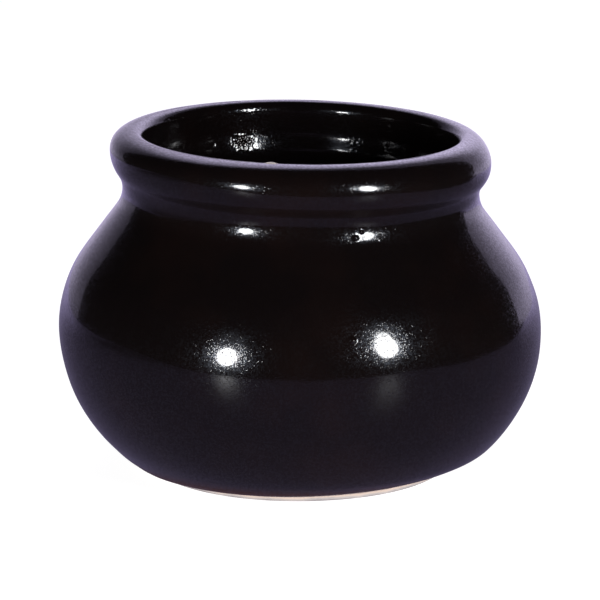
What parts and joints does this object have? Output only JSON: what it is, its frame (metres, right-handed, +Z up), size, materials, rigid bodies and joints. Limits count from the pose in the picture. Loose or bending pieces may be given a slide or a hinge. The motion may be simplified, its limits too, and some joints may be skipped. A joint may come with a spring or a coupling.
{
  "type": "flower pot",
  "caption": "Squat, round-bellied ceramic flower pot with a rolled rim, a drawn-in neck, a drained floor and black gloss glaze over a bare clay foot.",
  "frame": {"origin": "on the floor, in the middle of the pot's foot", "axes": "+Z up along the pot's axis; the pot is turned round that axis, so +X and +Y are any two level directions, with -Y towards the camera of the picture"},
  "size_m": [0.3, 0.3, 0.2095],
  "materials": {
    "bare_clay": "bare fired clay, matt",
    "black_glaze": "gloss"
  },
  "bodies": {
    "root": {"clay_body": "bare_clay", "outer_glaze": "black_glaze", "inner_glaze": "black_glaze"}
  },
  "joints": []
}
